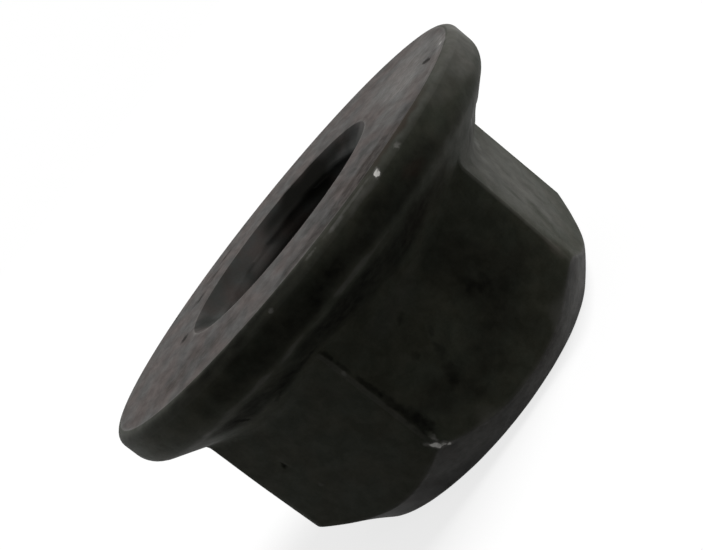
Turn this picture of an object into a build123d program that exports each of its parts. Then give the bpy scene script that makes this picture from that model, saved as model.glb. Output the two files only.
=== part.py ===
"""Hexagon flange nut with a plain bearing face: one forged, turned and tapped steel piece.

Sizes are in millimetres and degrees. The nut stands on the free end of its hexagon with the
flange on top: the origin is the centre of that end, +Z runs along the thread towards the
bearing face, and two corners of the hexagon lie on the X axis. The bore is plain, at the
minor diameter of the M12 thread.
"""
from build123d import *
import math
import os

HEIGHT = 12.7

# hexagon, and the cone turned on its free end round a flat ring
ACROSS_FLATS = 18.0
HEX_CORNER_RADIUS = 0.5
END_FACE_DIAMETER = 15.4
CHAMFER_ANGLE = 46.5

# flange: a faced bearing surface, a rim rounded front and back, and a sloping back.
# The rim's height is taken to where its wall would meet the slope.
BEARING_FACE_DIAMETER = 24.2
FLANGE_DIAMETER = 25.2
RIM_FRONT_HEIGHT = 0.87
RIM_HEIGHT = 1.86
RIM_BACK_RADIUS = 1.0
BACK_ANGLE = 35.0
NECK_RADIUS = 0.9

# bore, with a countersink at each end
BORE_DIAMETER = 10.2
COUNTERSINK_DIAMETER = 12.9
COUNTERSINK_ANGLE = 120.0

CORNER_REACH = ACROSS_FLATS / math.sqrt(3)


def rise(run, angle):
    """Height gained over a level run by a slope at the given angle to the level."""
    return run * math.tan(math.radians(angle))


def turned(*outline):
    """Solid of revolution about the Z axis of a closed outline in radius and height."""
    return revolve(Plane.XZ * make_face(outline), Axis.Z)


def hexagon():
    """Hexagonal bar of the nut's full height with its upright corners rounded."""
    section = RegularPolygon(CORNER_REACH, 6)
    return extrude(fillet(section.vertices(), HEX_CORNER_RADIUS), HEIGHT)


def chamfered_envelope():
    """Round body that just holds the hexagon, coned at its foot to trim the corners."""
    end = END_FACE_DIAMETER / 2
    shoulder = rise(CORNER_REACH - end, CHAMFER_ANGLE)
    return turned(Polyline((0, 0), (end, 0), (CORNER_REACH, shoulder), (CORNER_REACH, HEIGHT),
                           (0, HEIGHT), close=True))


def flange():
    """Flange disc, its back running on into the hexagon by more than the neck's fillet."""
    rim = FLANGE_DIAMETER / 2
    face = BEARING_FACE_DIAMETER / 2
    root = ACROSS_FLATS / 2 - NECK_RADIUS
    wall_top = (rim, HEIGHT - RIM_FRONT_HEIGHT)
    wall_foot = (rim, HEIGHT - RIM_HEIGHT)
    slope_foot = (root, HEIGHT - RIM_HEIGHT - rise(rim - root, BACK_ANGLE))
    front = TangentArc(wall_top, (face, HEIGHT), tangent=(0, 1))
    back = FilletPolyline(wall_top, wall_foot, slope_foot, radius=RIM_BACK_RADIUS)
    core = Polyline(slope_foot, (0, slope_foot[1]), (0, HEIGHT), (face, HEIGHT))
    return turned(front, back, core)


def bore():
    """What the drill and the two countersinks remove."""
    wall = BORE_DIAMETER / 2
    mouth = COUNTERSINK_DIAMETER / 2
    depth = rise(mouth - wall, 90 - COUNTERSINK_ANGLE / 2)
    return turned(Polyline((0, 0), (mouth, 0), (wall, depth), (wall, HEIGHT - depth),
                           (mouth, HEIGHT), (0, HEIGHT), close=True))


def flange_nut():
    """The whole nut: hexagon and flange blended at the neck, then bored."""
    body = hexagon() & chamfered_envelope()
    disc = flange()
    nut = body + disc
    nut = fillet(new_edges(body, disc, combined=nut), NECK_RADIUS)
    return nut - bore()


os.makedirs("parts", exist_ok=True)
export_step(flange_nut(), "parts/flange_nut.step")
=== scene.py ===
"""Looks of a blackened hexagon flange nut: its worn body, tapped bore, finish, stage and camera.

The nut stands on the free end of its hexagon with the flange on top, as in the frame. Its mesh
is made in millimetres and brought to metres at the end.
"""
import math
from collections import namedtuple

import bmesh
import bpy
from mathutils import Matrix, Vector, noise


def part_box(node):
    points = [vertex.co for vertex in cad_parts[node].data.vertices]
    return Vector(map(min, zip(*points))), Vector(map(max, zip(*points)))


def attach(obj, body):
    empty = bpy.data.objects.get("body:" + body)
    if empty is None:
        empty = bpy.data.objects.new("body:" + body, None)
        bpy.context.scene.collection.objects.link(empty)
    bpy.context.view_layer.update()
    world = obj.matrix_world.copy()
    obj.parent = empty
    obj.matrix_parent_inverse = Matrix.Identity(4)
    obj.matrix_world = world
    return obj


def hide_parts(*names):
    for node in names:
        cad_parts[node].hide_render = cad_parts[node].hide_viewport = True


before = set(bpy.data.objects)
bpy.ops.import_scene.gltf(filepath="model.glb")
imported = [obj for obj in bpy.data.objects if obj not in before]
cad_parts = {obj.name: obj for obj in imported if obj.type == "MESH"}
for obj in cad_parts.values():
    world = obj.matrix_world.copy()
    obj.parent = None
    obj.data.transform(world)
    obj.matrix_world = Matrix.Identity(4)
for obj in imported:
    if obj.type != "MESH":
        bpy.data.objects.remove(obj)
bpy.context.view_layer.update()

MM = 0.001
NODE = "flange_nut"
LOW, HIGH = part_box(NODE)
HEIGHT = (HIGH.z - LOW.z) / MM
FLANGE_RADIUS = (HIGH.x - LOW.x) / 2 / MM

# hexagon, its upright corners at 0, 60 ... degrees softened by use from partway down, most at the
# free end
FLAT_RADIUS = 9.0
CORNER_REACH = FLAT_RADIUS / math.cos(math.radians(30))
NECK_CORNER_RADII = (0.1, 0.25, 0.25, 0.25, 0.25, 0.25)
END_CORNER_RADII = (0.12, 0.4, 0.5, 1.0, 0.6, 1.5)
CORNER_WEAR_START = 0.55

# domed chamfer, turned a little askew: its height at each corner and at the middle of the face
# that follows it, and at each corner the rounding of its edge and how far it swells outwards,
# and by a share of that downwards
END_RADIUS = 7.76
END_OFF_CENTRE = 0.1
END_OFF_CENTRE_AZIMUTH = math.radians(-165)
CORNER_HEIGHTS = (2.3, 2.4, 2.5, 2.55, 2.65, 2.75)
ARCH_HEIGHTS = (0.95, 1.4, 1.3, 1.29, 1.04, 1.25)
ARCH_ROUNDINGS = (0.5, 0.22, 0.22, 0.22, 0.22, 0.4)
CHAMFER_BULGES = (0.2, 0, 0, 0, 0, 0)
BULGE_DROP = 0.6
END_ROUNDING = 0.28

# flange: its face, the rim's front, wall and back, and the neck's rounding at each corner
FACE_RADIUS = 12.12
FACE_OFF_CENTRE = 0.06
FACE_EDGE_ROUNDING = 0.14
RIM_LEAD_ANGLE = 13.0
RIM_FRONT_ROUNDING = 0.55
RIM_HEIGHT = 1.9
RIM_BACK_ROUNDING = 1.25
BACK_ANGLE = 35.0
NECK_ROUNDINGS = (0.3, 0.8, 0.8, 0.8, 0.8, 0.8)

# bore and its right-hand thread, which is cut with some turns to spare beyond both ends
MINOR_RADIUS = 5.1
MAJOR_RADIUS = 6.0
MOUTH_RADIUS = 6.45
MOUTH_ROUNDING = 0.25
MOUTH_LIP = 0.3
COUNTERSINK_SLOPE = 30.0
PITCH = 1.75
ROOT_FLAT = PITCH / 8
CREST_FLAT = PITCH / 4
FIRST_GROOVE_DEPTH = 0.87
FIRST_GROOVE_AZIMUTH = math.radians(14.5)
THREAD_STARTS = 0.5
THREAD_FULL = 2.4
SPARE_TURNS = 3
TURNS_ABOVE = 2

# wear: the turns, per millimetre, between which an edge shows it; then the forged unevenness, its
# second and finer wave, and the depths below the bearing face between which it sets in
EDGE_TURNS = (0.6, 3.0)
WAVE_SIZE = 1.7
FINER_WAVE = 2.7
FORGED_WAVE = 0.02
FACED_WAVE = 0.004
FORGED_DEPTHS = (0.05, 0.4)

# mesh: columns crowd towards the corners, and a seam is bridged between the outside and the bore
SECTOR = math.radians(60)
SECTOR_COLUMNS = 80
COLUMN_CROWDING = 0.78
RUN_CROWDING = 0.6
LONGEST_SETBACK = 0.8
THREAD_STEPS = 180
FLANK_STEPS = 5
SEAM = 0.03
MERGE_DISTANCE = 0.001
CUT_TOLERANCE = 0.0001


def slope(run, angle):
    """Height gained over a level run by a slope at the given angle to the level."""
    return run * math.tan(math.radians(angle))


def ramp(value, start, end):
    """Share of the way from one value to another, kept between 0 and 1."""
    return min(max((value - start) / (end - start), 0), 1)


def smooth(share):
    """Eases a share from 0 to 1 at both of its ends."""
    return share * share * (3 - 2 * share)


def finished_mesh(name, bm):
    """Mesh of what was built, which is then let go."""
    mesh = bpy.data.meshes.new(name)
    bm.to_mesh(mesh)
    bm.free()
    return mesh


def placed(name, data):
    """Puts a mesh, a light or a camera in the scene and returns its object."""
    piece = bpy.data.objects.new(name, data)
    bpy.context.scene.collection.objects.link(piece)
    return piece


# ---------------------------------------------------------------- outside of the nut

def column_azimuth(column):
    """Azimuth of one of the mesh's upright columns, which crowd towards the hexagon's corners."""
    share = column / SECTOR_COLUMNS
    return SECTOR * (share - COLUMN_CROWDING * math.sin(math.tau * share) / math.tau)


def hexagon_reach(azimuth, corner_radius):
    """Distance from the axis to the hexagon's side, its corners rounded."""
    off_corner = abs((azimuth + SECTOR / 2) % SECTOR - SECTOR / 2)
    centre = CORNER_REACH - corner_radius / math.cos(SECTOR / 2)
    tangent = (centre + corner_radius * math.cos(SECTOR / 2), corner_radius * math.sin(SECTOR / 2))
    if off_corner > math.atan2(tangent[1], tangent[0]):
        return FLAT_RADIUS / math.cos(SECTOR / 2 - off_corner)
    lateral = centre * math.sin(off_corner)
    return centre * math.cos(off_corner) + math.sqrt(corner_radius ** 2 - lateral ** 2)


Corner = namedtuple("Corner", "place rounding steps run_steps pull", defaults=(None,))


def eased(values, turn):
    """Value at a turn counted in sixths: held near each whole one and eased between them."""
    low = math.floor(turn)
    share = smooth(ramp(turn - low, 0.25, 0.75))
    return values[low % 6] * (1 - share) + values[(low + 1) % 6] * share


def end_radius(azimuth):
    """Radius of the ring where the chamfer meets the end face."""
    return END_RADIUS + END_OFF_CENTRE * math.cos(azimuth - END_OFF_CENTRE_AZIMUTH)


def face_radius(azimuth):
    """Radius of the bearing face, which was turned a little off centre."""
    return FACE_RADIUS + FACE_OFF_CENTRE * math.cos(azimuth)


def chamfer_bend(azimuth):
    """Slope at which the domed chamfer starts, and how it steepens with the run."""
    corner_height = eased(CORNER_HEIGHTS, azimuth / SECTOR)
    arch_height = eased(ARCH_HEIGHTS, azimuth / SECTOR - 0.5)
    corner_run = CORNER_REACH - end_radius(azimuth)
    face_run = FLAT_RADIUS - end_radius(azimuth)
    steepening = (corner_height / corner_run - arch_height / face_run) / (corner_run - face_run)
    return arch_height / face_run - steepening * face_run, steepening


def section_corners(azimuth):
    """Corners of the outside's half-section, from the bearing mouth to the end mouth.

    Each has its place in radius and height, its rounding, the steps round it, the steps to the
    next corner, and the point that pulls a curved run to the next corner out of the straight.
    """
    corner = round(azimuth / SECTOR) % 6
    neck_reach = hexagon_reach(azimuth, NECK_CORNER_RADII[corner])
    end_reach = hexagon_reach(azimuth, END_CORNER_RADII[corner])
    face = face_radius(azimuth)
    lead_foot = HEIGHT - slope(FLANGE_RADIUS - face, RIM_LEAD_ANGLE)
    rim_foot = HEIGHT - RIM_HEIGHT
    neck = rim_foot - slope(FLANGE_RADIUS - neck_reach, BACK_ANGLE)
    start, steepening = chamfer_bend(azimuth)
    ring = end_radius(azimuth)
    run = end_reach - ring
    arch = run * (start + steepening * run)
    worn_from = (neck_reach, neck + (arch - neck) * CORNER_WEAR_START)
    bulge = eased(CHAMFER_BULGES, azimuth / SECTOR)
    dome = (ring + run * (0.5 + bulge), start * run * (0.5 - BULGE_DROP * bulge))
    lip_radius = MOUTH_RADIUS - MOUTH_LIP
    lip_depth = slope(MOUTH_LIP, COUNTERSINK_SLOPE)
    return [
        Corner((lip_radius, HEIGHT - lip_depth), 0, 0, 1),
        Corner((MOUTH_RADIUS, HEIGHT), MOUTH_ROUNDING, 4, 18),
        Corner((face, HEIGHT), FACE_EDGE_ROUNDING, 3, 2),
        Corner((FLANGE_RADIUS, lead_foot), RIM_FRONT_ROUNDING, 8, 3),
        Corner((FLANGE_RADIUS, rim_foot), RIM_BACK_ROUNDING, 8, 8),
        Corner((neck_reach, neck), eased(NECK_ROUNDINGS, azimuth / SECTOR), 8, 18, worn_from),
        Corner((end_reach, arch), eased(ARCH_ROUNDINGS, azimuth / SECTOR), 6, 8, dome),
        Corner((ring, 0), END_ROUNDING, 6, 3),
        Corner((MOUTH_RADIUS, 0), MOUTH_ROUNDING, 4, 1),
        Corner((lip_radius, lip_depth), 0, 0, 0),
    ]


def rounded(before, corner, after, radius, steps):
    """Points of the arc that rounds a corner between two runs."""
    if not steps:
        return [corner]
    back = before - corner
    ahead = after - corner
    half = back.angle(ahead) / 2
    setback = min(radius / math.tan(half), LONGEST_SETBACK * min(back.length, ahead.length))
    radius = setback * math.tan(half)
    inward = (back.normalized() + ahead.normalized()).normalized()
    middle = corner + inward * (radius / math.sin(half))
    start = corner + back.normalized() * setback - middle
    end = corner + ahead.normalized() * setback - middle
    return [middle + start.lerp(end, step / steps).normalized() * radius
            for step in range(steps + 1)]


def run_points(start, pull, end, steps):
    """Points between two roundings, crowded towards both, on a run that may be pulled curved."""
    points = []
    for step in range(1, steps):
        share = step / steps - RUN_CROWDING * math.sin(math.tau * step / steps) / math.tau
        if pull:
            bend = Vector(pull)
            points.append(start.lerp(bend, share).lerp(bend.lerp(end, share), share))
        else:
            points.append(start.lerp(end, share))
    return points


def section_points(azimuth):
    """Points of the outside's half-section at an azimuth."""
    corners = section_corners(azimuth)
    points = []
    for index, corner in enumerate(corners):
        last = corners[max(index - 1, 0)]
        following = corners[min(index + 1, len(corners) - 1)]
        before = Vector(last.pull or last.place)
        after = Vector(corner.pull or following.place)
        arc = rounded(before, Vector(corner.place), after, corner.rounding, corner.steps)
        if points:
            points += run_points(points[-1], last.pull, arc[0], last.run_steps)
        points += arc
    return points


def turned_body(bm):
    """Outside of the nut: its section spun round, each column then pressed to its own section."""
    level_layer = bm.verts.layers.int.new("level")
    chain = [bm.verts.new((point.x, 0, point.y)) for point in section_points(0)]
    for level, vert in enumerate(chain):
        vert[level_layer] = level
    edges = [bm.edges.new(pair) for pair in zip(chain, chain[1:])]
    columns = 6 * SECTOR_COLUMNS
    bmesh.ops.spin(bm, geom=chain + edges, cent=(0, 0, 0), axis=(0, 0, 1), dvec=(0, 0, 0),
                   angle=math.tau, steps=columns, use_merge=True)
    sections = {}
    for vert in bm.verts:
        column = round(math.atan2(vert.co.y, vert.co.x) / math.tau * columns) % columns
        if column not in sections:
            sections[column] = section_points(column_azimuth(column))
        point = sections[column][vert[level_layer]]
        azimuth = column_azimuth(column)
        vert.co = (point.x * math.cos(azimuth), point.x * math.sin(azimuth), point.y)


# ---------------------------------------------------------------- tapped bore

def thread_chain(bm, turns):
    """Upright chain of thread grooves, one above another, as a tap leaves them."""
    root = ROOT_FLAT / 2
    crest = (PITCH - CREST_FLAT) / 2
    groove = [(-root, MAJOR_RADIUS), (0, MAJOR_RADIUS), (root, MAJOR_RADIUS)]
    for step in range(1, FLANK_STEPS + 1):
        share = step / FLANK_STEPS
        groove.append((root + (crest - root) * share,
                       MAJOR_RADIUS - (MAJOR_RADIUS - MINOR_RADIUS) * share))
    groove.append((PITCH / 2, MINOR_RADIUS))
    groove += [(PITCH - height, radius) for height, radius in groove[-2:2:-1]]
    return [bm.verts.new((radius, 0, turn * PITCH + height))
            for turn in range(turns) for height, radius in groove]


def bore_wall():
    """The bore's wall: a chain of grooves spun up the helix, flared by the countersinks."""
    bm = bmesh.new()
    turns = math.ceil(HEIGHT / PITCH) + SPARE_TURNS
    chain = thread_chain(bm, turns)
    edges = [bm.edges.new(pair) for pair in zip(chain, chain[1:])]
    bmesh.ops.spin(bm, geom=chain + edges, cent=(0, 0, 0), axis=(0, 0, 1),
                   dvec=(0, 0, PITCH / THREAD_STEPS), angle=math.tau, steps=THREAD_STEPS)
    bmesh.ops.remove_doubles(bm, verts=bm.verts, dist=MERGE_DISTANCE)
    groove_height = HEIGHT - FIRST_GROOVE_DEPTH - PITCH * (turns - TURNS_ABOVE)
    bmesh.ops.translate(bm, verts=bm.verts, vec=(0, 0, groove_height))
    bmesh.ops.rotate(bm, verts=bm.verts, cent=(0, 0, 0),
                     matrix=Matrix.Rotation(FIRST_GROOVE_AZIMUTH, 3, "Z"))
    for vert in bm.verts:
        depth = min(vert.co.z, HEIGHT - vert.co.z)
        cone = MOUTH_RADIUS - depth / math.tan(math.radians(COUNTERSINK_SLOPE))
        radius = vert.co.xy.length
        cut = MINOR_RADIUS + (radius - MINOR_RADIUS) * ramp(depth, THREAD_STARTS, THREAD_FULL)
        vert.co.xy *= max(cut, cone) / radius
    cut_depth = slope(MOUTH_LIP, COUNTERSINK_SLOPE) + SEAM
    for height, normal in ((cut_depth, -1), (HEIGHT - cut_depth, 1)):
        bmesh.ops.bisect_plane(bm, geom=bm.verts[:] + bm.edges[:] + bm.faces[:],
                               dist=CUT_TOLERANCE, plane_co=(0, 0, height),
                               plane_no=(0, 0, normal), clear_outer=True)
    return bm


def joined_nut():
    """The nut's closed mesh, in millimetres: its outside and bore, bridged at both mouths."""
    bore_mesh = finished_mesh("bore", bore_wall())
    bm = bmesh.new()
    turned_body(bm)
    bm.from_mesh(bore_mesh)
    bpy.data.meshes.remove(bore_mesh)
    for low, high in ((0, HEIGHT / 2), (HEIGHT / 2, HEIGHT)):
        rims = [edge for edge in bm.edges
                if edge.is_boundary and low < edge.verts[0].co.z < high]
        bmesh.ops.bridge_loops(bm, edges=rims)
    bmesh.ops.recalc_face_normals(bm, faces=bm.faces)
    return bm


# ---------------------------------------------------------------- wear, painted light and shade

def note_turns(bm):
    """Notes on each vertex how sharply the surface turns out there, and how sharply in."""
    edge_layer = bm.verts.layers.float.new("edge")
    hollow_layer = bm.verts.layers.float.new("hollow")
    bm.normal_update()
    for vert in bm.verts:
        turns = []
        for edge in vert.link_edges:
            away = edge.other_vert(vert).co - vert.co
            turns.append(-2 * away.dot(vert.normal) / away.length_squared)
        vert[edge_layer] = ramp(max(turns), *EDGE_TURNS)
        vert[hollow_layer] = ramp(-min(turns), *EDGE_TURNS)


def press_waves(bm):
    """Presses the forged outside in a little, unevenly, and the turned bearing face by less."""
    for vert in bm.verts:
        if vert.co.xy.length < MOUTH_RADIUS:
            continue
        forged = ramp(HEIGHT - vert.co.z, *FORGED_DEPTHS)
        depth = FACED_WAVE + (FORGED_WAVE - FACED_WAVE) * forged
        finer = noise.noise(vert.co / WAVE_SIZE * FINER_WAVE)
        swell = noise.noise(vert.co / WAVE_SIZE) + finer / 2
        vert.co -= vert.normal * depth * (0.5 + swell / 3)


# A mark lies at an azimuth in degrees, a radius and a height. It reaches so far around the axis
# and across, is turned by so many degrees, and has a depth. Its tone is above 0 for places worn
# bright and for painted light, and below 0 for dark places and for painted shade, and rust is how
# brown it is. A tone past -1 keeps a mark black out to near its outline.
Mark = namedtuple("Mark", "azimuth radius height around across turn depth tone rust",
                  defaults=(0, 0, 0, 0))

MARKS = (
    # painted light, a painted highlight and painted shade on the bearing face, worn and dark
    # places, a pit near its edge, and specks
    # painted highlight of the rounded edge at the tip, and along the edge beside it
    Mark(-30, 11.8, 12.7, 2.3, 0.5, turn=4, tone=0.4, depth=0.01),
    Mark(-44, 11.85, 12.69, 4.5, 0.24, tone=0.3),
    Mark(-37.2, 10.92, 12.7, 0.8, 0.2, turn=29, tone=-2, depth=0.05),
    # painted light on the lit part of the face, in two marks
    Mark(-18, 9.6, 12.7, 6.0, 3.0, tone=0.42),
    Mark(-48, 9.8, 12.7, 4.5, 2.6, tone=0.18),
    Mark(-39.4, 9.7, 12.7, 1.6, 0.8, turn=30, tone=0.12),
    # painted shade on the near part of the face, in two marks
    Mark(-88, 11.2, 12.7, 7.5, 1.3, tone=-0.6),
    Mark(-85, 8.6, 12.7, 5.0, 1.3, tone=-0.3),
    Mark(-72, 12.2, 12.66, 3.2, 0.38, tone=-0.5, rust=0.5),
    Mark(-83.5, 11.9, 12.69, 1.0, 0.4, tone=-0.5),
    Mark(-80, 10.4, 12.7, 2.6, 0.4, turn=-3, tone=-0.3, rust=0.3),
    Mark(-150, 9.3, 12.7, 5.0, 2.4, tone=-0.3),
    Mark(158.6, 7.19, 12.7, 0.6, 0.4, tone=-1),
    Mark(95.4, 9.8, 12.7, 0.8, 0.5, tone=-1),
    Mark(105.7, 9.0, 12.7, 0.9, 0.5, tone=-0.9),
    Mark(118.5, 8.5, 12.7, 0.8, 0.5, tone=-1),
    # painted shade in the countersink, and painted light on the thread below it
    # painted shade across the countersink and on its lit ends, in four marks
    Mark(52, 5.75, 12.3, 4.2, 1.3, tone=-1),
    Mark(6, 6.05, 12.47, 2.0, 0.8, tone=-0.5),
    Mark(128, 5.8, 12.33, 4.2, 1.3, tone=-0.35),
    Mark(160, 5.9, 12.38, 1.6, 0.9, tone=-0.45),
    # painted light on the thread, which lies in shade
    Mark(112, 5.1, 11.0, 5.0, 1.7, tone=0.2),
    # painted light, dirt, chips and flecks along the rim's front
    # painted light on the lit side of the rim's front, in two marks
    Mark(-14, 12.55, 12.0, 4.5, 1.2, tone=0.42),
    Mark(-40, 12.6, 11.8, 5.0, 1.1, tone=0.3),
    Mark(-123, 12.35, 12.62, 6.0, 0.34, tone=-0.8),
    Mark(-82.9, 12.5, 12.42, 0.3, 0.17, turn=38, tone=1.0, depth=0.012),
    Mark(-75.9, 12.53, 12.41, 0.2, 0.16, tone=0.5, depth=0.02),
    Mark(-95.5, 12.47, 12.51, 0.7, 0.12, tone=0.3, depth=0.01),
    Mark(-91, 12.43, 12.57, 2.4, 0.1, tone=0.25),
    Mark(-89, 12.58, 12.25, 1.5, 0.34, turn=4, tone=0.2),
    Mark(-102.7, 12.42, 12.57, 0.5, 0.1, tone=0.4),
    Mark(-115.2, 12.55, 12.38, 0.18, 0.16, tone=0.6, depth=0.02),
    Mark(-121.7, 12.59, 11.84, 0.14, 0.12, tone=0.3),
    # rim wall: a rusty place, painted shade in two places, and a painted highlight along the line
    # where the wall turns to the back
    Mark(-77.5, 12.57, 11.3, 0.9, 0.4, turn=-15, tone=-0.25, rust=0.3),
    # painted shade on the wall's side away from the light, in two marks
    Mark(-86, 12.58, 11.3, 6.5, 0.9, tone=-0.7),
    Mark(-120, 12.6, 11.5, 6.5, 1.0, tone=-0.7),
    # painted highlight where the wall turns to the back, in two marks
    Mark(-107, 12.31, 10.67, 9.5, 0.34, tone=0.28),
    Mark(-150, 12.16, 10.52, 3.0, 0.3, tone=0.17),
    # grime and painted shade on the flange's back beside the hexagon, and on the lit side painted
    # light and a dent
    # painted shade in the crease beside the hexagon, with some grime, in four marks
    Mark(-113, 11.4, 10.02, 3.8, 1.3, tone=-0.85),
    Mark(-94, 10.9, 9.68, 4.2, 1.9, tone=-0.85),
    Mark(-74, 10.9, 9.68, 3.0, 1.4, tone=-0.5, rust=0.1),
    Mark(-141, 11.3, 9.92, 3.4, 1.3, tone=-0.8),
    Mark(-121.5, 10.9, 9.63, 0.8, 0.22, turn=8, tone=-0.7),
    Mark(-129.4, 10.75, 9.53, 1.5, 0.7, turn=21, tone=-0.9),
    Mark(-137, 10.2, 9.15, 1.0, 0.22, turn=25, tone=-0.5),
    Mark(-144.7, 11.0, 9.7, 0.85, 0.2, turn=67, tone=-1, depth=0.03),
    # painted light on the lit side
    Mark(-28, 11.2, 9.85, 4.5, 1.7, tone=0.5),
    Mark(-41, 10.68, 9.47, 2.6, 0.6, tone=0.15, depth=0.16),
    # nicks of the hexagon's front corner and dark scale beside it, scale and mottling of the
    # faces, painted light on the lit face, a brown line on the next corner, and painted light on
    # the chamfer
    Mark(-119.7, 10.36, 7.9, 0.2, 0.16, turn=40, tone=0.3, depth=0.03),
    Mark(-119.5, 10.36, 6.95, 0.2, 0.14, turn=-30, tone=0.25, depth=0.03),
    Mark(-118.9, 10.3, 9.0, 0.15, 0.5, tone=-0.7),
    Mark(-118.8, 10.27, 8.1, 0.12, 0.6, tone=-0.6),
    Mark(-118.6, 10.25, 6.7, 0.17, 0.95, tone=-0.7),
    Mark(-118.4, 10.25, 5.5, 0.28, 0.95, tone=-0.75),
    Mark(-118.2, 10.22, 4.5, 0.42, 0.9, tone=-0.8),
    Mark(-118.1, 10.2, 3.6, 0.45, 0.7, tone=-0.85),
    Mark(-119.2, 10.18, 2.66, 0.85, 0.22, turn=-51, tone=0.85, depth=0.04),
    Mark(-118.6, 10.25, 3.2, 0.16, 0.42, tone=1.0, depth=0.02),
    Mark(-165.9, 9.26, 6.12, 0.36, 0.2, turn=20, tone=-1, depth=0.06),
    Mark(-162.9, 9.4, 4.3, 0.22, 0.2, tone=0.2),
    Mark(-150, 9.2, 3.2, 5.0, 2.2, tone=0.03),
    Mark(-98, 9.1, 7.9, 3.6, 0.8, tone=0.05),
    Mark(-101.2, 9.17, 7.3, 0.35, 0.2, turn=30, tone=-0.4),
    Mark(-98.6, 9.09, 5.9, 0.3, 0.22, turn=60, tone=-0.4),
    Mark(-106.3, 9.37, 5.8, 0.25, 0.35, tone=-0.4),
    Mark(-101, 9.15, 5.1, 0.6, 0.3, turn=70, tone=-0.5),
    Mark(-109, 9.4, 3.8, 2.2, 1.5, turn=-20, tone=-0.5),
    Mark(-104.1, 9.27, 4.1, 0.9, 0.4, turn=60, tone=-0.4),
    Mark(-94, 9.0, 3.3, 2.4, 1.4, turn=20, tone=-0.5),
    Mark(-80, 9.1, 5.2, 1.5, 0.5, turn=-35, tone=-0.35),
    Mark(-78, 9.2, 5.6, 2.8, 3.8, tone=-0.6),
    # painted light on the lit face of the hexagon
    Mark(-30, 9.1, 6.0, 5.5, 4.2, tone=0.24),
    Mark(-47, 9.4, 7.9, 0.9, 0.8, turn=30, tone=0.16),
    Mark(-36, 9.1, 7.2, 1.0, 0.5, turn=50, tone=0.12),
    Mark(-28, 9.0, 6.2, 0.9, 0.4, turn=60, tone=-0.14),
    Mark(-33, 9.0, 5.0, 1.1, 0.5, turn=40, tone=0.1),
    Mark(-45, 9.3, 5.9, 0.8, 0.4, turn=70, tone=-0.15),
    Mark(-24, 9.1, 4.4, 1.0, 0.5, turn=45, tone=-0.12),
    Mark(-40, 9.2, 3.6, 1.2, 0.6, turn=20, tone=0.1),
    Mark(-22.6, 9.1, 7.9, 1.3, 0.28, turn=7, tone=0.3),
    Mark(-42, 9.2, 4.3, 1.4, 0.5, turn=35, tone=-0.2),
    Mark(-60, 10.2, 3.5, 0.35, 1.0, tone=0.12, rust=0.25),
    # painted light from the floor on the chamfer, in three marks
    Mark(-60, 9.2, 1.2, 3.5, 1.3, tone=0.35),
    Mark(-90, 8.4, 0.55, 5.0, 1.0, tone=0.35),
    Mark(-118, 9.2, 1.2, 3.0, 1.4, tone=0.35),
)

# A mark narrower than the widest cut one is pressed on a mesh cut finer, so many times at most.
MARK_CUTS = 3
CUTS_ACROSS_MARK = 5
WIDEST_CUT_MARK = 1.0

# A mark is whole in its core and ends at a ragged outline. It stays on its own surface: it fades
# above and below it over its width and a clearance, and what faces another way takes none of it.
MARK_CORE = 0.35
MARK_RAGGEDNESS = 0.35
MARK_RAG_COUNT = 2.0
MARK_CLEARANCE = 0.5
MARK_REACH = 1.3
MARK_FACING = 0.3

# where one finish gives way to the next, in millimetres, and the tilt of a face of the free end
BORE_MARGIN = 0.02
FACED_DEPTH = 0.15
END_TILT = -0.25

# finishes, in the order of the mesh's material slots
FINISHES = ("forged_black", "worn_facing", "tapped_bore", "turned_end")


def mark_share(mark, point, normal):
    """How much of a mark a point takes: 1 at its middle and 0 past its ragged outline."""
    azimuth = math.radians(mark.azimuth)
    beside = math.atan2(point.y, point.x) - azimuth
    along = math.remainder(beside, math.tau) * mark.radius
    radial = Vector((math.cos(azimuth), math.sin(azimuth)))
    lean = Vector((normal.xy.dot(radial), normal.z)).normalized()
    off = Vector((point.xy.length - mark.radius, point.z - mark.height))
    up = off.y * lean.x - off.x * lean.y
    turn = math.radians(mark.turn)
    x = (along * math.cos(turn) + up * math.sin(turn)) / mark.around
    y = (up * math.cos(turn) - along * math.sin(turn)) / mark.across
    size = math.sqrt(mark.around * mark.across)
    under = off.dot(lean) / (mark.across + MARK_CLEARANCE)
    rag = MARK_RAGGEDNESS * noise.noise(point / size * MARK_RAG_COUNT)
    return smooth(ramp(Vector((x, y, under)).length + rag, 1, MARK_CORE))


def marked(bm, mark, place, normal):
    """The vertices that a mark reaches."""
    reach = MARK_REACH * max(mark.around, mark.across)
    return [vert for vert in bm.verts
            if (vert.co - place).length < reach and vert.normal.dot(normal) > MARK_FACING
            and mark_share(mark, vert.co, normal) > 0]


def press_mark(bm, mark):
    """Presses a mark into the surface, on a finer mesh if it is small, and paints it."""
    azimuth = math.radians(mark.azimuth)
    place = Vector((mark.radius * math.cos(azimuth), mark.radius * math.sin(azimuth), mark.height))
    normal = min(bm.verts, key=lambda vert: (vert.co - place).length).normal.copy()
    width = 2 * min(mark.around, mark.across)
    for _ in range(MARK_CUTS if width < WIDEST_CUT_MARK else 0):
        # a dictionary, because a set would shuffle the edges from run to run
        edges = dict.fromkeys(edge for vert in marked(bm, mark, place, normal)
                              for edge in vert.link_edges
                              if edge.calc_length() > width / CUTS_ACROSS_MARK)
        bmesh.ops.subdivide_edges(bm, edges=list(edges), cuts=1, use_grid_fill=True)
        bm.normal_update()
    tone_layer = bm.verts.layers.float["tone"]
    rust_layer = bm.verts.layers.float["rust"]
    for vert in marked(bm, mark, place, normal):
        share = mark_share(mark, vert.co, normal)
        vert.co -= normal * mark.depth * share
        vert[tone_layer] = min(max(vert[tone_layer] + mark.tone * share, -1), 1)
        vert[rust_layer] = min(vert[rust_layer] + mark.rust * share, 1)


def press_marks(bm):
    """Presses and paints every mark, one after another."""
    for name in ("tone", "rust"):
        bm.verts.layers.float.new(name)
    bm.normal_update()
    for mark in MARKS:
        press_mark(bm, mark)


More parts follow.
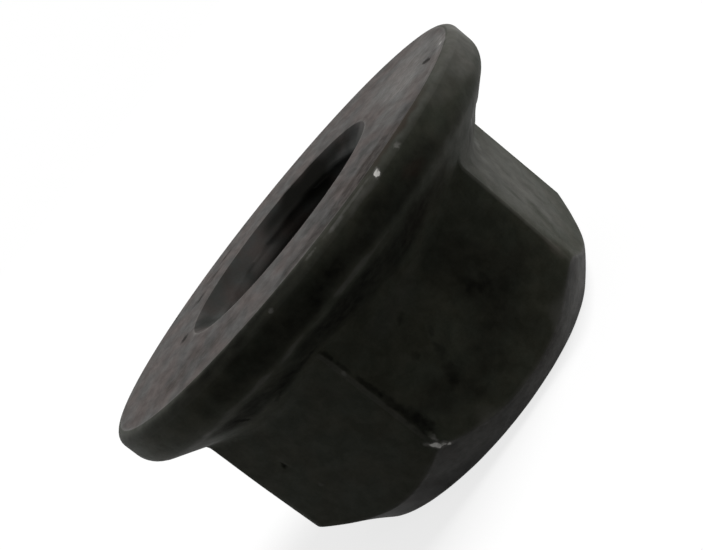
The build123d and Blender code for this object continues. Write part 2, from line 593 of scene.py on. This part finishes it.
def lay_finishes(bm):
    """Gives each face its finish: forged outside, turned bearing face or end, or tapped bore."""
    for face in bm.faces:
        place = face.calc_center_median()
        radius = place.xy.length
        faced = place.z > HEIGHT - FACED_DEPTH
        if radius < MOUTH_RADIUS - BORE_MARGIN:
            finish = "tapped_bore"
        elif faced and radius < face_radius(math.atan2(place.y, place.x)):
            finish = "worn_facing"
        elif place.z < HEIGHT / 3 and face.normal.z < END_TILT:
            finish = "turned_end"
        else:
            finish = "forged_black"
        face.material_index = FINISHES.index(finish)
        face.smooth = True


def settle_order(bm):
    """Puts the mesh's parts in the order of their places, so each run writes the same mesh."""
    for parts, key in ((bm.verts, lambda vert: vert.co[:]),
                       (bm.edges, lambda edge: sorted(vert.index for vert in edge.verts)),
                       (bm.faces, lambda face: sorted(vert.index for vert in face.verts))):
        rank = {part: index for index, part in enumerate(sorted(parts, key=key))}
        parts.sort(key=rank.get)
        parts.index_update()


def nut_piece():
    """The nut's one detailed mesh, with its marks and finishes laid."""
    bm = joined_nut()
    note_turns(bm)
    press_waves(bm)
    press_marks(bm)
    lay_finishes(bm)
    settle_order(bm)
    bmesh.ops.scale(bm, verts=bm.verts, vec=(MM, MM, MM))
    return placed("worn_nut", finished_mesh("worn_nut", bm))


# ---------------------------------------------------------------- finish

# way in which the finish's patches run, and how much longer they are along it
PATCH_RUN_AZIMUTH = math.radians(-98)
PATCH_STRETCH = 2.2


def add_node(tree, kind, inputs=None, **settings):
    """Adds a node with its settings, each of its inputs set to a value or linked to a socket."""
    node = tree.nodes.new("ShaderNode" + kind)
    for name, value in settings.items():
        setattr(node, name, value)
    for name, value in (inputs or {}).items():
        if isinstance(value, bpy.types.NodeSocket):
            tree.links.new(value, node.inputs[name])
        else:
            node.inputs[name].default_value = value
    return node


def math_node(tree, operation, first, second, clamp=False):
    """Adds a math node and returns its result."""
    return add_node(tree, "Math", {0: first, 1: second}, operation=operation,
                    use_clamp=clamp).outputs[0]


def spread(tree, value, low, high, to_low=0.0, to_high=1.0):
    """Stretches a value from one range to another, kept within it, and returns the result."""
    return add_node(tree, "MapRange", {"Value": value, "From Min": low, "From Max": high,
                                       "To Min": to_low, "To Max": to_high}).outputs["Result"]


def blend(tree, share, first, second, kind="MIX"):
    """Blends two colours and returns the result."""
    return add_node(tree, "Mix", {0: share, 6: first, 7: second}, data_type="RGBA",
                    blend_type=kind).outputs[2]


def new_group(name, inputs, outputs):
    """Makes an empty node group with named inputs and outputs, and returns it and its two ends."""
    group = bpy.data.node_groups.new(name, "ShaderNodeTree")
    for socket, kind, value in inputs:
        made = group.interface.new_socket(socket, in_out="INPUT", socket_type="NodeSocket" + kind)
        made.default_value = value
    for socket, kind in outputs:
        group.interface.new_socket(socket, in_out="OUTPUT", socket_type="NodeSocket" + kind)
    given = group.nodes.new("NodeGroupInput").outputs
    result = group.nodes.new("NodeGroupOutput").inputs
    return group, given, result


def grain_place(tree):
    """Places on the piece, drawn together along the way in which its patches run."""
    place = add_node(tree, "TexCoord").outputs["Object"]
    turned = add_node(tree, "VectorRotate", {"Vector": place, "Angle": -PATCH_RUN_AZIMUTH},
                      rotation_type="Z_AXIS").outputs[0]
    return add_node(tree, "VectorMath", {0: turned, 1: (1 / PATCH_STRETCH, 1, 1)},
                    operation="MULTIPLY").outputs[0]


def scaled_skin_group():
    """Patches of oxide scale and the fine grain between them, from places on the piece."""
    group, given, result = new_group(
        "scaled_skin", [("Patch Scale", "Float", 1500.0), ("Grain Scale", "Float", 8000.0)],
        [("Patches", "Float"), ("Grain", "Float"), ("Height", "Float")])
    place = grain_place(group)
    patches = add_node(group, "TexNoise", {"Vector": place, "Scale": given["Patch Scale"],
                                           "Detail": 4.0, "Roughness": 0.55, "Distortion": 0.3})
    grain = add_node(group, "TexNoise", {"Vector": place, "Scale": given["Grain Scale"],
                                         "Detail": 2.0, "Roughness": 0.6})
    patch_mask = spread(group, patches.outputs["Fac"], 0.34, 0.66)
    grain_mask = spread(group, grain.outputs["Fac"], 0.3, 0.7)
    height = math_node(group, "ADD", math_node(group, "MULTIPLY", patch_mask, 0.65),
                       math_node(group, "MULTIPLY", grain_mask, 0.35))
    group.links.new(patch_mask, result["Patches"])
    group.links.new(grain_mask, result["Grain"])
    group.links.new(height, result["Height"])
    return group


def wear_and_painted_light_group():
    """Bare metal on edges and marks, painted light of bright marks, grime and painted shade in
    hollows and dark marks, and rust.
    """
    group, given, result = new_group(
        "handling_wear_and_painted_light", [("Edge Wear", "Float", 0.5), ("Grime And Shade", "Float", 0.3),
                          ("Break Up", "Float", 0.5)],
        [("Bare And Painted Light", "Float"), ("Dark", "Float"), ("Rust", "Float")])
    kept = {name: add_node(group, "Attribute", attribute_name=name).outputs["Fac"]
            for name in ("edge", "hollow", "tone", "rust")}
    place = add_node(group, "TexCoord").outputs["Object"]
    rubbed = add_node(group, "TexNoise", {"Vector": place, "Scale": 2600.0, "Detail": 3.0})
    ragged = spread(group, rubbed.outputs["Fac"], 0.38, 0.62)
    broken = math_node(group, "MULTIPLY", ragged, given["Break Up"])
    hold = math_node(group, "SUBTRACT", 1.0, broken)
    rub = math_node(group, "MULTIPLY", kept["edge"], given["Edge Wear"])
    edge = math_node(group, "MULTIPLY", rub, hold)
    # bright marks: worn places, and painted light
    bright = math_node(group, "MULTIPLY", math_node(group, "MAXIMUM", kept["tone"], 0.0), hold)
    group.links.new(math_node(group, "ADD", edge, bright, clamp=True), result["Bare And Painted Light"])
    # dark marks: dark places, and painted shade
    dim = math_node(group, "MULTIPLY", math_node(group, "MINIMUM", kept["tone"], 0.0), -1.0)
    # darker in the hollows: grime, and painted shade in the creases
    grime_and_shade = math_node(group, "MULTIPLY", kept["hollow"], given["Grime And Shade"])
    dark = math_node(group, "MULTIPLY", math_node(group, "ADD", dim, grime_and_shade), hold, clamp=True)
    group.links.new(dark, result["Dark"])
    group.links.new(math_node(group, "MULTIPLY", kept["rust"], hold), result["Rust"])
    return group


def hue_drift_group():
    """Lets a colour drift between a warmer and a cooler one over the surface."""
    group, given, result = new_group(
        "hue_drift", [("Color", "Color", (0.5, 0.5, 0.5, 1.0)), ("Scale", "Float", 700.0),
                      ("Warm", "Color", (1.15, 0.95, 0.93, 1.0)),
                      ("Cool", "Color", (0.92, 1.0, 1.06, 1.0))],
        [("Color", "Color")])
    place = grain_place(group)
    field = add_node(group, "TexNoise", {"Vector": place, "Scale": given["Scale"], "Detail": 2.0})
    coolness = spread(group, field.outputs["Fac"], 0.38, 0.62)
    drift = blend(group, coolness, given["Warm"], given["Cool"])
    group.links.new(blend(group, 1.0, given["Color"], drift, "MULTIPLY"), result["Color"])
    return group


def turning_lines_group():
    """Rings that a facing tool leaves, broken along their run."""
    group, given, result = new_group(
        "turning_lines", [("Line Scale", "Float", 2600.0), ("Run", "Float", 3.0)],
        [("Lines", "Float")])
    place = add_node(group, "TexCoord").outputs["Object"]
    level = add_node(group, "VectorMath", {0: place, 1: (1, 1, 0)}, operation="MULTIPLY").outputs[0]
    radius = add_node(group, "VectorMath", {0: level}, operation="LENGTH").outputs["Value"]
    heading = add_node(group, "VectorMath", {0: level}, operation="NORMALIZE").outputs[0]
    run = add_node(group, "VectorMath", {0: heading, "Scale": given["Run"]},
                   operation="SCALE").outputs[0]
    spacing = math_node(group, "MULTIPLY", radius, given["Line Scale"])
    rings = add_node(group, "CombineXYZ", {"Z": spacing}).outputs[0]
    where = add_node(group, "VectorMath", {0: run, 1: rings}, operation="ADD").outputs[0]
    lines = add_node(group, "TexNoise", {"Vector": where, "Scale": 1.0, "Detail": 3.0,
                                         "Roughness": 0.65})
    group.links.new(spread(group, lines.outputs["Fac"], 0.32, 0.68), result["Lines"])
    return group


SCALED_SKIN = scaled_skin_group()
WEAR_AND_PAINTED_LIGHT = wear_and_painted_light_group()
HUE_DRIFT = hue_drift_group()
TURNING_LINES = turning_lines_group()

# worn steel, also the colour of painted light
WORN_STEEL_AND_PAINTED_LIGHT = (0.16, 0.155, 0.145, 1)
BARE_STEEL = (0.62, 0.61, 0.58, 1)
BARE_FROM, BARE_FULL = 0.65, 0.85
# black of dirt and dark scale, also the colour of painted shade
BLACK_DIRT_AND_PAINTED_SHADE = (0.004, 0.004, 0.003, 1)
RUST = (0.042, 0.03, 0.022, 1)
COAT_SPECULAR = 0.05


def coated_steel(name, deep, thin, warm, cool, patch_scale, roughness, wear, grime_and_shade, relief,
                 break_up=0.5, lines=0.0):
    """A black finish on a skin with a little relief.

    It runs from deep to thin places and from a warm to a cool tint. Wear and painted light show
    steel through it, and dirt, dark scale and painted shade darken it, all with ragged outlines,
    and lines is the share of turned rings in it.
    """
    material = bpy.data.materials.new(name)
    material.use_nodes = True
    tree = material.node_tree
    shader = tree.nodes["Principled BSDF"]
    skin = add_node(tree, "Group", {"Patch Scale": patch_scale}, node_tree=SCALED_SKIN)
    wear_and_light = add_node(tree, "Group", {"Edge Wear": wear, "Grime And Shade": grime_and_shade, "Break Up": break_up},
                    node_tree=WEAR_AND_PAINTED_LIGHT)
    mottle = math_node(tree, "ADD", math_node(tree, "MULTIPLY", skin.outputs["Patches"], 0.75),
                       math_node(tree, "MULTIPLY", skin.outputs["Grain"], 0.25))
    height = skin.outputs["Height"]
    if lines:
        rings = add_node(tree, "Group", node_tree=TURNING_LINES).outputs["Lines"]
        mottle = add_node(tree, "Mix", {0: lines, 2: mottle, 3: rings}).outputs[0]
        height = add_node(tree, "Mix", {0: lines, 2: height, 3: rings}).outputs[0]
    drift = add_node(tree, "Group", {"Color": blend(tree, mottle, deep, thin), "Warm": warm,
                                     "Cool": cool}, node_tree=HUE_DRIFT)
    # pale wear, and painted light from bright marks
    colour = blend(tree, wear_and_light.outputs["Bare And Painted Light"], drift.outputs["Color"], WORN_STEEL_AND_PAINTED_LIGHT)
    bright = spread(tree, wear_and_light.outputs["Bare And Painted Light"], BARE_FROM, BARE_FULL)
    colour = blend(tree, bright, colour, BARE_STEEL)
    # dirt and dark scale, and painted shade from dark marks
    colour = blend(tree, wear_and_light.outputs["Dark"], colour, BLACK_DIRT_AND_PAINTED_SHADE)
    colour = blend(tree, wear_and_light.outputs["Rust"], colour, RUST)
    tree.links.new(colour, shader.inputs["Base Color"])
    rough = spread(tree, mottle, 0, 1, roughness[1], roughness[0])
    duller = math_node(tree, "MULTIPLY", wear_and_light.outputs["Dark"], 0.3)
    glossier = math_node(tree, "MULTIPLY", wear_and_light.outputs["Bare And Painted Light"], 0.12)
    rough = math_node(tree, "SUBTRACT", math_node(tree, "ADD", rough, duller), glossier)
    tree.links.new(rough, shader.inputs["Roughness"])
    bump = add_node(tree, "Bump", {"Strength": 1.0, "Distance": relief, "Height": height})
    tree.links.new(bump.outputs["Normal"], shader.inputs["Normal"])
    shader.inputs["Specular IOR Level"].default_value = COAT_SPECULAR
    return material


def forged_black():
    """Black scale of the forged outside, thin and a little mottled."""
    return coated_steel("forged_black", (0.0185, 0.0197, 0.0135, 1), (0.033, 0.0345, 0.0255, 1),
                        (1.03, 0.99, 0.97, 1), (0.97, 1.0, 1.01, 1), patch_scale=1500.0,
                        roughness=(0.57, 0.65), wear=0.15, grime_and_shade=0.1, relief=4e-6,
                        break_up=0.25)


def worn_facing():
    """Bearing face: turned, blackened and worn grey, with a trace of its turned rings."""
    return coated_steel("worn_facing", (0.03, 0.0255, 0.0225, 1), (0.068, 0.061, 0.056, 1),
                        (1.1, 0.97, 0.96, 1), (0.93, 1.0, 1.04, 1), patch_scale=1500.0,
                        roughness=(0.52, 0.62), wear=0.3, grime_and_shade=0.3, relief=2e-6, lines=0.15)


def tapped_bore():
    """Countersinks and thread, in larger patches and without wear on the edges."""
    return coated_steel("tapped_bore", (0.022, 0.0215, 0.018, 1), (0.038, 0.036, 0.033, 1),
                        (1.12, 0.96, 0.97, 1), (0.92, 1.0, 1.06, 1), patch_scale=500.0,
                        roughness=(0.56, 0.64), wear=0.0, grime_and_shade=0.1, relief=3e-6, break_up=0.0)


def turned_end():
    """Turned chamfer and end face of the hexagon's free end."""
    return coated_steel("turned_end", (0.028, 0.0275, 0.025, 1), (0.045, 0.044, 0.041, 1),
                        (1.03, 0.99, 0.98, 1), (0.97, 1.0, 1.01, 1), patch_scale=1500.0,
                        roughness=(0.56, 0.64), wear=0.3, grime_and_shade=0.1, relief=3e-6)


nut = nut_piece()
for finish in (forged_black(), worn_facing(), tapped_bore(), turned_end()):
    nut.data.materials.append(finish)
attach(nut, "root")
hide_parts(NODE)

# ---------------------------------------------------------------- stage, light and camera

# The floor and the surroundings are bright where the camera sees them, straight or as a gloss,
# and light the nut much less.
FLOOR_REACH = 6.0
FLOOR_COLOUR = (0.3, 0.3, 0.3, 1)
FLOOR_GLOW = 0.78
SURROUNDINGS_COLOUR = (1, 1, 1, 1)
SURROUNDINGS_LIGHT = 0.2
SURROUNDINGS_SEEN = 1.0

KEY_FROM = Vector((0.76, -0.1, 0.64))
KEY_STRENGTH = 3.0
KEY_SPREAD = math.radians(36)

CAMERA_PLACE = Vector((-14.91, -68.79, 21.64)) * MM
CAMERA_RIGHT = Vector((0.5776, -0.2762, -0.7682))
CAMERA_UP = Vector((0.7880, -0.0571, 0.6130))
LENS = 75.82
SENSOR_WIDTH = 36
NEAREST_SEEN = 0.005


def seen(tree):
    """1 for what the camera sees straight or as a gloss, and 0 for what only gives light."""
    path = add_node(tree, "LightPath")
    return math_node(tree, "MAXIMUM", path.outputs["Is Camera Ray"],
                     path.outputs["Is Glossy Ray"])


def floor_piece():
    """Wide white floor under the nut."""
    bm = bmesh.new()
    bmesh.ops.create_grid(bm, x_segments=1, y_segments=1, size=FLOOR_REACH)
    mesh = finished_mesh("floor", bm)
    material = bpy.data.materials.new("white_floor")
    material.use_nodes = True
    tree = material.node_tree
    tree.nodes.clear()
    diffuse = add_node(tree, "BsdfDiffuse", {"Color": FLOOR_COLOUR})
    strength = math_node(tree, "MULTIPLY", seen(tree), FLOOR_GLOW)
    glow = add_node(tree, "Emission", {"Strength": strength})
    surface = add_node(tree, "AddShader", {0: diffuse.outputs[0], 1: glow.outputs[0]})
    add_node(tree, "OutputMaterial", {"Surface": surface.outputs[0]})
    mesh.materials.append(material)
    return placed("floor", mesh)


def studio_world():
    """White surroundings."""
    world = bpy.data.worlds.new("studio")
    bpy.context.scene.world = world
    world.use_nodes = True
    tree = world.node_tree
    level = spread(tree, seen(tree), 0.0, 1.0, SURROUNDINGS_LIGHT, SURROUNDINGS_SEEN)
    background = tree.nodes["Background"]
    tree.links.new(level, background.inputs["Strength"])
    background.inputs["Color"].default_value = SURROUNDINGS_COLOUR


def key_light():
    """One broad light from +X, well above the floor."""
    light = bpy.data.lights.new("key", "SUN")
    light.energy = KEY_STRENGTH
    light.angle = KEY_SPREAD
    placed("key", light).rotation_euler = KEY_FROM.to_track_quat("Z", "Y").to_euler()


def camera():
    """Camera close to the nut, rolled far over to one side."""
    data = bpy.data.cameras.new("camera")
    data.lens = LENS
    data.sensor_width = SENSOR_WIDTH
    data.clip_start = NEAREST_SEEN
    eye = placed("camera", data)
    right = CAMERA_RIGHT.normalized()
    back = right.cross(CAMERA_UP).normalized()
    up = back.cross(right)
    turn = Matrix((right, up, back)).transposed()
    eye.matrix_world = Matrix.Translation(CAMERA_PLACE) @ turn.to_4x4()
    bpy.context.scene.camera = eye


floor_piece()
studio_world()
key_light()
camera()
bpy.context.scene.view_settings.view_transform = "Standard"
